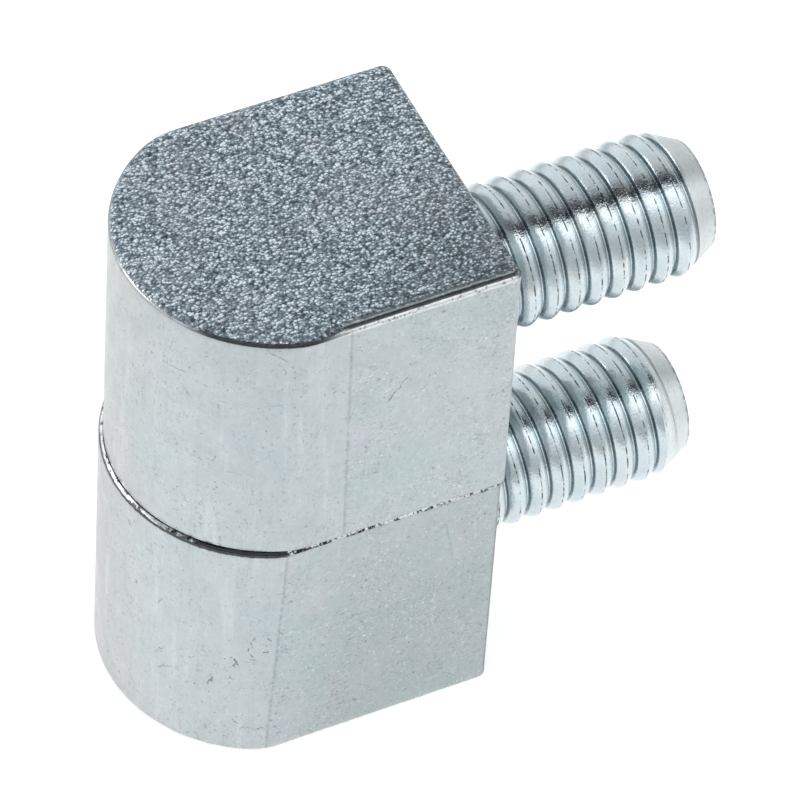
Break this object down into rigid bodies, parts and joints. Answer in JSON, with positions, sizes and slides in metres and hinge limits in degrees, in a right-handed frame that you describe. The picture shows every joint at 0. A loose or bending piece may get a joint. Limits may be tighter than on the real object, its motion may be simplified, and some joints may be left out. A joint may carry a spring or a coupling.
{
  "type": "block hinge",
  "caption": "Zinc plated steel block hinge: D-section blocks stacked on a hidden upright pin, each with an M8 threaded stud standing out of its flat back face.",
  "frame": {"origin": "on the hinge axis, at the foot of the lower block", "axes": "+Z along the hinge axis, up; +Y out of the flat back faces, along the studs; +X to the right seen from the rounded nose"},
  "size_m": [0.0161, 0.0321, 0.0316],
  "materials": {
    "block_zinc": "bright zinc plate, satin, with a coarse blasted end face",
    "stud_zinc": "bright blue-white zinc plate on a rolled thread, glossy",
    "pin_steel": "ground steel, lightly oiled"
  },
  "bodies": {
    "lower_leaf": {"lower_block": "block_zinc", "lower_stud": "stud_zinc", "hinge_pin": "pin_steel"},
    "upper_leaf": {"upper_block": "block_zinc", "upper_stud": "stud_zinc"}
  },
  "joints": [
    {"name": "hinge", "type": "hinge", "parent": "lower_leaf", "child": "upper_leaf", "pos_m": [0, 0, 0.01593], "axis": [0, 0, 1], "continuous": true}
  ]
}
